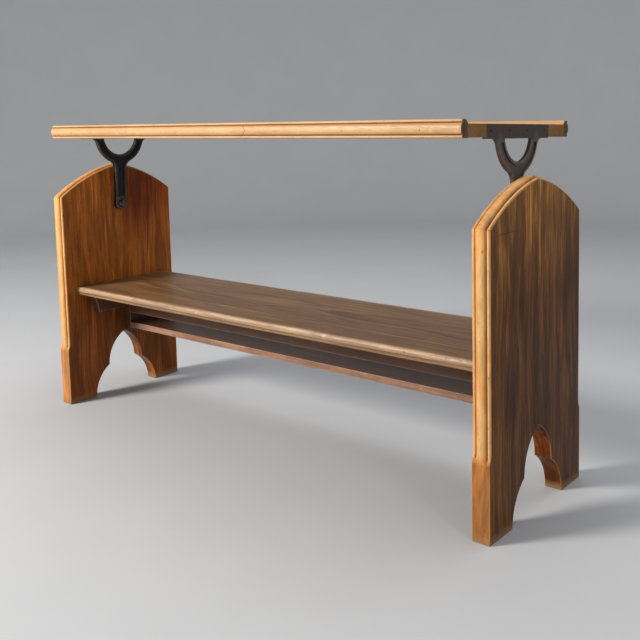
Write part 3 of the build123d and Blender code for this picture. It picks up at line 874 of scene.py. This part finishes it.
def rise(tree, value, start, end):
    """A mask that goes from 0 where value is start to 1 where it is end."""
    return add_node(tree, "MapRange", {0: value, 1: start, 2: end, 3: 0.0, 4: 1.0}).outputs[0]


def even_noise(tree, coordinates, scale, detail, roughness=0.5):
    """Noise with scale features to the metre in every direction."""
    inputs = {0: coordinates, "Scale": scale, "Detail": detail, "Roughness": roughness}
    return add_node(tree, "TexNoise", inputs).outputs[0]


def blend_colours(tree, factor, first, second, how="MIX"):
    """The first colour where factor is 0 and the second where it is 1."""
    node = add_node(tree, "Mix", {0: factor, 6: first, 7: second}, data_type="RGBA", blend_type=how)
    return node.outputs[2]


def ramp(tree, factor, *stops):
    """A grey ramp through stops (position, value)."""
    node = add_node(tree, "ValToRGB", {0: factor})
    elements = node.color_ramp.elements
    while len(elements) < len(stops):
        elements.new(0.5)
    for element, (position, value) in zip(elements, stops):
        element.position = position
        element.color = (value, value, value, 1)
    return node.outputs[0]


def stretched_noise(tree, coordinates, along, across, detail=3.0, roughness=0.55):
    """Noise with so many features to the metre along and across the grain."""
    scaled = add_node(tree, "Mapping", {0: coordinates, 3: (along, across, across)})
    return even_noise(tree, scaled.outputs[0], 1.0, detail, roughness)


def new_material(name):
    """An empty node material: the material, its node tree and its shader."""
    material = bpy.data.materials.new(name)
    material.use_nodes = True
    tree = material.node_tree
    tree.nodes.clear()
    output = tree.nodes.new("ShaderNodeOutputMaterial")
    shader = tree.nodes.new("ShaderNodeBsdfPrincipled")
    tree.links.new(shader.outputs[0], output.inputs[0])
    return material, tree, shader


def tone(red, green, blue):
    """An opaque colour."""
    return (red, green, blue, 1.0)


GRAIN_TURN = {
    "X": (0, 0, 0),
    "Y": (0, 0, -math.pi / 2),
    "Z": (0, math.pi / 2, 0),
}


def growth_rings(tree, along_grain, sway, pith, tilt, spacing):
    """A mask of the growth rings: each darkens towards its end, some years more
    than others. They are circles about the pith, which is tilted against the grain."""
    from_pith = {0: along_grain, 1: (0, -pith[0], -pith[1]), 2: (0, tilt[0], tilt[1])}
    swayed = vector_node(tree, "ADD", add_node(tree, "Mapping", from_pith).outputs[0], sway)
    radius = length_of(tree, vector_node(tree, "MULTIPLY", swayed, (0.0, 1.0, 1.0)))
    ripple = stretched_noise(tree, along_grain, 5.0, 70.0)
    ring_count = plus(tree, math_node(tree, "DIVIDE", radius, spacing), ripple)
    part = math_node(tree, "FRACT", ring_count)
    season = ramp(tree, part, (0.0, 0.1), (0.45, 0.3), (0.86, 1.0), (1.0, 0.15))
    year = add_node(tree, "TexWhiteNoise", {1: math_node(tree, "FLOOR", ring_count)}, noise_dimensions="1D")
    return times(tree, season, plus(tree, times(tree, year.outputs[0], 0.6), 0.4))


def use_marks(tree, colour, along_grain, fine_streak, speck, drift, worn, light, deep, end_tone):
    """Wood colour with its rubbed crests, specks, end grain, a faded face with a painted sheen, and dirt
    with painted shade in the grooves.
    Returns the colour, how far the wood is rubbed and the noise of the rubbing."""
    rub_noise = stretched_noise(tree, along_grain, 14.0, 60.0, 4.0, 0.65)
    end = mark(tree, "end")
    rubbed = times(tree, mark(tree, "wear"), ramp(tree, rub_noise, (0.25, 0.55), (0.6, 1.0)))
    rubbed = times(tree, rubbed, minus(tree, 1.0, end))
    grain_left = times(tree, fine_streak, 0.35)
    colour = blend_colours(tree, rubbed, colour, blend_colours(tree, grain_left, worn, light))
    colour = blend_colours(tree, times(tree, speck, 0.6), colour, deep)
    colour = blend_colours(tree, times(tree, end, 0.75), colour, tone(*end_tone))
    weather = times(tree, mark(tree, "weather"), ramp(tree, drift, (0.3, 0.65), (0.6, 1.0)))
    colour = blend_colours(tree, weather, colour, WEATHERED_AND_SHEEN, "MULTIPLY")
    # Dirt, and painted shade in grooves and creases.
    colour = blend_colours(tree, times(tree, mark(tree, "grime"), 0.7), colour, DIRT_AND_SHADE_TONE)
    return colour, rubbed, rub_noise


def wood(name, grain, pith, tones, tilt=(0.0, 0.02), spacing=0.0065, rings=0.75, patina=0.6, streaks=0.4,
         gloss=0.36, sheen=0.3, end_tone=(0.05, 0.028, 0.012), marks_on=None):
    """Old varnished wood cut from a log.

    The growth rings are circles about the pith, a line along the grain that is
    tilted a little, so that a flat face shows arches in the middle and straight
    lines at its sides. Fibres, pores, patina, rubbed crests and dirt come on top,
    with painted shade in grooves and a painted sheen on outer faces; marks_on
    may add more painted shade and shadow.
    """
    material, tree, shader = new_material(name)
    light, dark, deep, worn = tones
    coordinates = object_coordinates(tree)
    along_grain = add_node(tree, "Mapping", {0: coordinates, 2: GRAIN_TURN[grain]}).outputs[0]
    drift_at = add_node(tree, "Mapping", {0: along_grain, 3: (1.6, 5.0, 5.0)}).outputs[0]
    drift_noise = add_node(tree, "TexNoise", {0: drift_at, "Scale": 1.0, "Detail": 2.0})
    drift, sway = drift_noise.outputs[0], drift_noise.outputs[1]
    sway = vector_node(tree, "SUBTRACT", sway, (0.5, 0.5, 0.5))
    sway = vector_node(tree, "MULTIPLY", sway, (0.0, 0.07, 0.07))
    ring_mask = times(tree, growth_rings(tree, along_grain, sway, pith, tilt, spacing), rings)
    fibre = stretched_noise(tree, along_grain, 7.0, 260.0, 5.0, 0.65)
    fibre_mask = ramp(tree, fibre, (0.35, 0.0), (0.72, 1.0))
    pores = ramp(tree, stretched_noise(tree, along_grain, 40.0, 1300.0, 2.0), (0.56, 0.0), (0.66, 1.0))
    age = ramp(tree, stretched_noise(tree, along_grain, 1.7, 5.0, 4.0, 0.6), (0.36, 0.0), (0.66, 1.0))
    wavy = vector_node(tree, "ADD", along_grain, sway)
    wide_streak = ramp(tree, stretched_noise(tree, wavy, 2.4, 24.0, 4.0, 0.7), (0.43, 0.0), (0.59, 1.0))
    fine_streak = ramp(tree, stretched_noise(tree, wavy, 4.5, 85.0, 3.0, 0.6), (0.46, 0.0), (0.58, 1.0))
    speck = ramp(tree, stretched_noise(tree, along_grain, 70.0, 260.0, 1.0), (0.68, 0.0), (0.74, 1.0))

    colour = blend_colours(tree, ring_mask, light, dark)
    colour = blend_colours(tree, times(tree, fibre_mask, 0.4), colour, dark)
    colour = blend_colours(tree, times(tree, age, 0.7 * patina), colour, deep)
    colour = blend_colours(tree, times(tree, wide_streak, streaks), colour, deep)
    colour = blend_colours(tree, times(tree, fine_streak, 0.7 * streaks), colour, dark)
    colour = blend_colours(tree, times(tree, pores, 0.5), colour, deep)
    colour, rubbed, rub_noise = use_marks(tree, colour, along_grain, fine_streak, speck, drift,
                                          worn, light, deep, end_tone)
    if marks_on is not None:
        colour = marks_on(tree, coordinates, drift, colour)
    tree.links.new(colour, shader.inputs["Base Color"])

    rough = plus(tree, times(tree, fibre, 0.22), gloss - 0.11)
    rough = plus(tree, rough, times(tree, rubbed, 0.1))
    tree.links.new(rough, shader.inputs["Roughness"])
    relief = plus(tree, times(tree, fibre, -0.6), times(tree, pores, -0.7))
    relief = plus(tree, relief, times(tree, rub_noise, -0.8))
    bump = add_node(tree, "Bump", {"Strength": 0.5, "Distance": 0.0005, "Height": relief})
    tree.links.new(bump.outputs[0], shader.inputs["Normal"])
    shader.inputs["Specular IOR Level"].default_value = sheen
    return material


def shade_and_floor_scuff(tree, coordinates, noise, colour, shade_heights, shade_tone):
    """Painted shade: a panel darkens between the two shade heights, from the upper to the lower, except
    where it is rubbed. Pale rubbed wood lies on the lowest few centimetres."""
    height = axes_of(tree, coordinates)[2]
    shade = rise(tree, height, *shade_heights)
    spared_from_shade = ramp(tree, mark(tree, "wear"), (0.0, 0.0), (0.3, 0.85))
    shade = times(tree, shade, minus(tree, 1.0, spared_from_shade))
    colour = blend_colours(tree, shade, colour, shade_tone, "MULTIPLY")
    low = plus(tree, times(tree, height, 22.0), times(tree, noise, 0.5))
    return blend_colours(tree, ramp(tree, low, (0.42, 0.75), (0.85, 0.0)), colour, SCUFF)


def near_zero(tree, value, full, none):
    """A mask that is 1 where value lies within full of zero and 0 beyond none."""
    size = math_node(tree, "ABSOLUTE", value)
    return rise(tree, size, none, full)


def left_panel_shade_and_scuff(tree, coordinates, noise, colour):
    """Painted shade that darkens the panel from about the seat's height down, the floor scuff, and a painted
    shadow of the back that makes the rear of the panel's upper part redder and darker.
    """
    colour = shade_and_floor_scuff(tree, coordinates, noise, colour, LEFT_SHADE_HEIGHTS, LEFT_SHADE)
    place = axes_of(tree, coordinates)
    rear = rise(tree, place[1], -0.01, 0.03)
    upper = rise(tree, place[2], 0.50, 0.72)
    return blend_colours(tree, times(tree, rear, upper), colour, PAINTED_BACK_SHADOW, "MULTIPLY")


def right_panel_shade_scuff_and_split(tree, coordinates, noise, colour):
    """Painted shade towards the bottom, the floor scuff, and a short split that runs back from the front
    edge of the outer face a little below the shoulder."""
    colour = shade_and_floor_scuff(tree, coordinates, noise, colour, RIGHT_SHADE_HEIGHTS, RIGHT_SHADE)
    place = axes_of(tree, coordinates)
    bend = times(tree, minus(tree, noise, 0.5), 0.02)
    height = plus(tree, minus(tree, place[2], SPLIT_HEIGHT), bend)
    across = minus(tree, place[1], SPLIT_MIDDLE)
    line = times(tree, near_zero(tree, height, 0.0004, 0.0014),
                 near_zero(tree, across, SPLIT_HALF * 0.4, SPLIT_HALF))
    outside = math_node(tree, "GREATER_THAN", place[0], PANEL_MIDDLE)
    line = times(tree, line, outside)
    return blend_colours(tree, times(tree, line, 0.8), colour, DIRT_AND_SHADE_TONE)


def nail_holes(tree, along_pew, height):
    """A mask of nail holes, one every NAIL_PACE, lower than the moulding's middle by
    NAIL_DROP."""
    pace = plus(tree, math_node(tree, "DIVIDE", along_pew, NAIL_PACE), NAIL_START)
    along = times(tree, minus(tree, math_node(tree, "FRACT", pace), 0.5), NAIL_PACE)
    nail = add_node(tree, "CombineXYZ", {0: along, 1: plus(tree, height, NAIL_DROP)}).outputs[0]
    return near_zero(tree, length_of(tree, nail), 0.0011, 0.0020)


def nails_and_scarf(tree, coordinates, noise, colour):
    """Small dark nail holes along a moulding, and on the front one a V-shaped scarf
    joint. Heights are measured square to the back, which leans by REST_LEAN."""
    place = axes_of(tree, coordinates)
    square = (0.0, math.sin(REST_LEAN), math.cos(REST_LEAN))
    height = add_node(tree, "VectorMath", {0: coordinates, 1: square}, operation="DOT_PRODUCT")
    height = height.outputs["Value"]
    middle = (MOULDING_LOW + MOULDING_HALF - HINGE[2]) + HINGE[2] * math.cos(REST_LEAN)
    height = minus(tree, height, middle)
    slant = plus(tree, minus(tree, place[0], SCARF_PLACE), math_node(tree, "ABSOLUTE", height))
    in_front = math_node(tree, "LESS_THAN", place[1], 0.0)
    scarf = times(tree, near_zero(tree, slant, 0.0004, 0.0016), in_front)
    scarf = times(tree, scarf, near_zero(tree, height, SCARF_HALF, SCARF_HALF + 0.0005))
    mask = math_node(tree, "MAXIMUM", nail_holes(tree, place[0], height), scarf)
    return blend_colours(tree, times(tree, mask, 0.8), colour, DIRT_AND_SHADE_TONE)


def core_ends(tree, coordinates, noise, colour):
    """The ends of the back's board, where the end grain has turned olive brown."""
    along = axes_of(tree, coordinates)[0]
    at_end = math_node(tree, "GREATER_THAN", math_node(tree, "ABSOLUTE", along), BACK_END - 0.0012)
    blotch = ramp(tree, stretched_noise(tree, coordinates, 90.0, 130.0), (0.4, 0.55), (0.6, 1.0))
    return blend_colours(tree, times(tree, at_end, blotch), colour, CORE_END, "MULTIPLY")


def iron(name, tones, metal, dullness=0.3):
    """Blackened cast iron: a pitted skin with brown rust, and a bright tone on the ribs that is partly
    rubbed metal and partly a painted highlight.
    """
    material, tree, shader = new_material(name)
    base, rust, bare_and_glint = tones
    coordinates = object_coordinates(tree)
    cloud = even_noise(tree, coordinates, 38.0, 5.0, 0.65)
    pits = even_noise(tree, coordinates, 700.0, 3.0)
    rub = even_noise(tree, coordinates, 120.0, 4.0)
    colour = blend_colours(tree, ramp(tree, cloud, (0.42, 0.0), (0.68, 0.8)), base, rust)
    rubbed = times(tree, mark(tree, "wear"), ramp(tree, rub, (0.35, 0.15), (0.6, 0.9)))
    colour = blend_colours(tree, rubbed, colour, bare_and_glint)
    colour = blend_colours(tree, times(tree, mark(tree, "grime"), 0.5), colour, DIRT_AND_SHADE_TONE)
    colour = blend_colours(tree, ramp(tree, pits, (0.3, 0.5), (0.5, 0.0)), colour, PIT_BLACK)
    tree.links.new(colour, shader.inputs["Base Color"])
    rough = plus(tree, times(tree, cloud, 0.3), dullness)
    rough = minus(tree, rough, times(tree, rubbed, 0.12))
    tree.links.new(rough, shader.inputs["Roughness"])
    relief = plus(tree, times(tree, cloud, 0.8), times(tree, pits, 0.5))
    bump = add_node(tree, "Bump", {"Strength": 0.6, "Distance": 0.0006, "Height": relief})
    tree.links.new(bump.outputs[0], shader.inputs["Normal"])
    shader.inputs["Metallic"].default_value = metal
    return material


# --- marks left by use, with painted shade, shadow and sheen ----------------------------------
DIRT_AND_SHADE_TONE = tone(0.03, 0.013, 0.005)
PIT_BLACK = tone(0.008, 0.006, 0.005)
SCUFF = tone(0.26, 0.155, 0.07)
# Painted shade: the left panel darkens from about the seat's height down, and the right one towards the
# bottom.
LEFT_SHADE = tone(0.54, 0.48, 0.48)
LEFT_SHADE_HEIGHTS = (0.46, 0.38)
RIGHT_SHADE = tone(0.42, 0.32, 0.19)
RIGHT_SHADE_HEIGHTS = (0.84, 0.58)
# Painted shadow of the back on the rear of the left panel's upper part.
PAINTED_BACK_SHADOW = tone(0.66, 0.46, 0.44)
CORE_END = tone(0.80, 0.64, 0.16)
# The outer faces' olive brown is partly faded wood and partly a painted sheen of the pale sky.
WEATHERED_AND_SHEEN = tone(0.92, 1.38, 2.0)   # outer faces have faded from orange to olive brown
SPLIT_HEIGHT = 0.7585
SPLIT_MIDDLE = -0.172
SPLIT_HALF = 0.075
NAIL_PACE = 0.2418
NAIL_START = 0.48              # shifts the row of nails, in paces
NAIL_DROP = 0.003
SCARF_PLACE = 0.136
SCARF_HALF = 0.0125            # half of its height

# --- tones: light, dark, deep and worn for wood; base, rust, and bare with a painted highlight for iron ---
PANEL_TONES = (tone(0.92, 0.300, 0.040), tone(0.19, 0.052, 0.010), tone(0.09, 0.024, 0.006),
               tone(0.67, 0.415, 0.175))
SEAT_TONES = (tone(0.36, 0.200, 0.086), tone(0.080, 0.036, 0.014), tone(0.10, 0.052, 0.024),
              tone(0.62, 0.45, 0.32))
UNDER_TONES = (tone(0.19, 0.088, 0.045), tone(0.085, 0.038, 0.020), tone(0.06, 0.03, 0.018),
               tone(0.48, 0.28, 0.19))
MOULDING_TONES = (tone(0.50, 0.280, 0.115), tone(0.33, 0.16, 0.055), tone(0.26, 0.115, 0.036),
                  tone(0.60, 0.385, 0.20))
BACK_TONES = (tone(0.40, 0.24, 0.12), tone(0.20, 0.10, 0.045), tone(0.16, 0.08, 0.035),
              tone(0.62, 0.45, 0.32))
PANEL_STREAKS = {"left": 0.55, "right": 0.85}
# The left bracket's near-black iron is painted shade: the same casting as the right one, drawn darker. Both
# bare tones are partly rubbed metal and partly a painted highlight on the ribs.
BRACKET_TONES_WITH_PAINTED_SHADE = {
    "left": (tone(0.004, 0.003, 0.003), tone(0.014, 0.009, 0.006), tone(0.42, 0.33, 0.27)),
    "right": (tone(0.075, 0.062, 0.054), tone(0.12, 0.080, 0.055), tone(0.30, 0.26, 0.23)),
}
BOLT_TONES = (tone(0.13, 0.118, 0.105), tone(0.06, 0.042, 0.030), tone(0.35, 0.33, 0.3))
SCREW_TONES = (tone(0.05, 0.042, 0.036), tone(0.08, 0.05, 0.03), tone(0.3, 0.28, 0.25))


# --- assembly -----------------------------------------------------------------------------------
def build_ends():
    """Both end panels, each with its bearer and shelf hanger."""
    for word, side in SIDES:
        streaks = PANEL_STREAKS[word]
        pith = (0.02 * side, -side * PANEL_MIDDLE - 0.09)
        marks_on = right_panel_shade_scuff_and_split if side > 0 else left_panel_shade_and_scuff
        panel_wood = wood("panel_wood_" + word, "Z", pith, PANEL_TONES, (0.035, 0.01), 0.011,
                          rings=streaks, sheen=0.15, streaks=streaks, marks_on=marks_on)
        end_panel("worn_panel_" + word, side, panel_wood)
        cleat_wood = wood("cleat_wood_" + word, "Y", (0.8, 0.30), UNDER_TONES)
        screwed_board("cleat_" + word, "seat_cleat_" + word, cleat_wood, cleat_outline,
                      CLEAT_SCREWS, CLEAT_SCREW_HEIGHT, 21 + side)
        screwed_board("hanger_" + word, "shelf_hanger_" + word, cleat_wood, hanger_outline,
                      HANGER_SCREWS, HANGER_SCREW_HEIGHT, 25 + side)


def build_seat():
    """The two planks of the seat, and the rail and shelf under them."""
    low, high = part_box("seat_board_front")
    front_wood = wood("seat_wood_front", "X", (-0.21, 0.34), SEAT_TONES, (0.006, 0.0), 0.012,
                      rings=0.8, patina=0.45)
    rear_wood = wood("seat_wood_rear", "X", (0.03, 0.33), SEAT_TONES, (0.03, 0.02), 0.016,
                     rings=1.0, patina=0.45)
    seat_board("seat_front_plank", "seat_board_front", front_wood, low.y, high.y, 41)
    seat_board("seat_rear_plank", "seat_board_rear", rear_wood, -low.y, high.y, 44)
    rail_wood = wood("rail_wood", "X", (0.4, 0.36), UNDER_TONES, (0.01, 0.0))
    board("rail", "seat_rail", rail_wood, 0.0018, 0.0, 47)
    board("shelf", "shelf_board", rail_wood, 0.0022, 0.75, 48)


def build_back():
    """The back's board and the mouldings along its edges."""
    moulding_wood = wood("moulding_wood", "X", (-0.36, 0.95), MOULDING_TONES, (0.004, 0.003), rings=0.5,
                         patina=0.3, streaks=0.2, end_tone=(0.018, 0.010, 0.005), marks_on=nails_and_scarf)
    back_moulding("edge_front", -1, moulding_wood)
    back_moulding("edge_rear", 1, moulding_wood)
    back_wood = wood("back_wood", "X", (0.04, 0.90), BACK_TONES, (0.025, 0.01), marks_on=core_ends)
    back_core("back_core", back_wood)


def build_ironwork():
    """The brackets, and the iron of the washers, bolts and screws."""
    bolt_iron = iron("bolt_iron", BOLT_TONES, 0.9, 0.08)
    screw_iron = iron("screw_iron", SCREW_TONES, 0.7)
    for word, side in SIDES:
        bracket_iron = iron("bracket_iron_" + word, BRACKET_TONES_WITH_PAINTED_SHADE[word], 0.2)
        bracket("bracket_" + word, side, bracket_iron)
        for node, metal in (("pivot_washer_", bracket_iron), ("pivot_bolt_", bolt_iron),
                            ("bracket_screws_", screw_iron), ("cleat_screws_", screw_iron)):
            for slot in frame["nodes"][node + word].material_slots:
                slot.material = metal


# --- stage, light and camera ------------------------------------------------------------------
FLOOR_RADIUS = 5.5
SWEEP_RADIUS = 2.5
WALL_HEIGHT = 4.0
FLOOR_DARK = tone(0.44, 0.45, 0.47)
FLOOR_LIGHT = tone(0.48, 0.49, 0.51)
# Each light's name, place, target, width, power and colour.
LIGHTS = (
    ("key", (-2.6, -4.6, 2.9), (0, 0, 0.5), 1.6, 490, (1.0, 0.95, 0.88)),
    ("fill", (4.4, -1.9, 1.9), (0, 0, 0.6), 1.0, 32, (1.0, 0.90, 0.76)),
    ("overhead", (0.6, 1.2, 4.6), (0, 0, 0.3), 4.0, 90, (0.95, 0.97, 1.0)),
)
SKY_COLOUR = (0.92, 0.96, 1.0, 1)
SKY_STRENGTH = 0.38


def studio_bowl():
    """A plain pale floor that sweeps up into a wall all round: a profile of a flat,
    a quarter circle and a wall, turned about Z."""
    bend = np.linspace(0, math.pi / 2, 16)[1:]
    radius = np.concatenate([np.linspace(0.02, FLOOR_RADIUS, 12), FLOOR_RADIUS + SWEEP_RADIUS * np.sin(bend),
                             [FLOOR_RADIUS + SWEEP_RADIUS]])
    height = np.concatenate([np.zeros(12), SWEEP_RADIUS * (1 - np.cos(bend)), [SWEEP_RADIUS + WALL_HEIGHT]])
    turn = np.linspace(0, 2 * math.pi, 96, endpoint=False)
    x = radius[:, None] * np.cos(turn)
    y = radius[:, None] * np.sin(turn)
    z = np.repeat(height[:, None], len(turn), axis=1)
    vertices = np.stack([x, y, z], axis=2).reshape(-1, 3)
    faces = grid_faces(len(radius), len(turn), 0, False, True).tolist()
    faces.append(list(range(len(turn))))
    mesh = bpy.data.meshes.new("studio_bowl")
    mesh.from_pydata(vertices.tolist(), [], faces)
    mesh.shade_smooth()
    bowl = bpy.data.objects.new("studio_bowl", mesh)
    bpy.context.scene.collection.objects.link(bowl)
    material, tree, shader = new_material("pale_floor")
    cloud = even_noise(tree, object_coordinates(tree), 3.0, 5.0)
    colour = blend_colours(tree, cloud, FLOOR_DARK, FLOOR_LIGHT)
    tree.links.new(colour, shader.inputs["Base Color"])
    shader.inputs["Roughness"].default_value = 0.85
    mesh.materials.append(material)


def area_light(name, place, target, size, power, colour):
    """A round light at place that shines towards target."""
    data = bpy.data.lights.new(name, "AREA")
    data.shape = "DISK"
    data.size = size
    data.energy = power
    data.color = colour
    light = bpy.data.objects.new(name, data)
    bpy.context.scene.collection.objects.link(light)
    light.location = place
    light.rotation_euler = (Vector(target) - Vector(place)).to_track_quat("-Z", "Y").to_euler()


def lights():
    """The round lights and an even light from all sides."""
    for light in LIGHTS:
        area_light(*light)
    world = bpy.data.worlds.new("studio_light")
    world.use_nodes = True
    background = world.node_tree.nodes["Background"]
    background.inputs[0].default_value = SKY_COLOUR
    background.inputs[1].default_value = SKY_STRENGTH
    bpy.context.scene.world = world
    bpy.context.scene.view_settings.view_transform = "Standard"


CAMERA_PLACE = (1.9084, -2.0427, 1.0566)
CAMERA_YAW = 0.70523
CAMERA_PITCH = 0.10419
CAMERA_ROLL = -0.02476
CAMERA_LENS = 48.91
CAMERA_SHIFT_Y = -0.1805


def camera():
    """Camera turned by yaw about Z, then down by pitch, then about its own axis by roll."""
    level = Matrix.Rotation(math.pi / 2, 4, "X")
    turn = Matrix.Rotation(CAMERA_YAW, 4, "Z") @ level
    turn = turn @ Matrix.Rotation(-CAMERA_PITCH, 4, "X") @ Matrix.Rotation(CAMERA_ROLL, 4, "Z")
    data = bpy.data.cameras.new("camera")
    data.sensor_width = 36
    data.lens = CAMERA_LENS
    data.shift_y = CAMERA_SHIFT_Y
    view = bpy.data.objects.new("camera", data)
    bpy.context.scene.collection.objects.link(view)
    view.matrix_world = Matrix.Translation(CAMERA_PLACE) @ turn
    bpy.context.scene.camera = view


camera()
lights()
studio_bowl()
build_ends()
build_seat()
build_back()
build_ironwork()
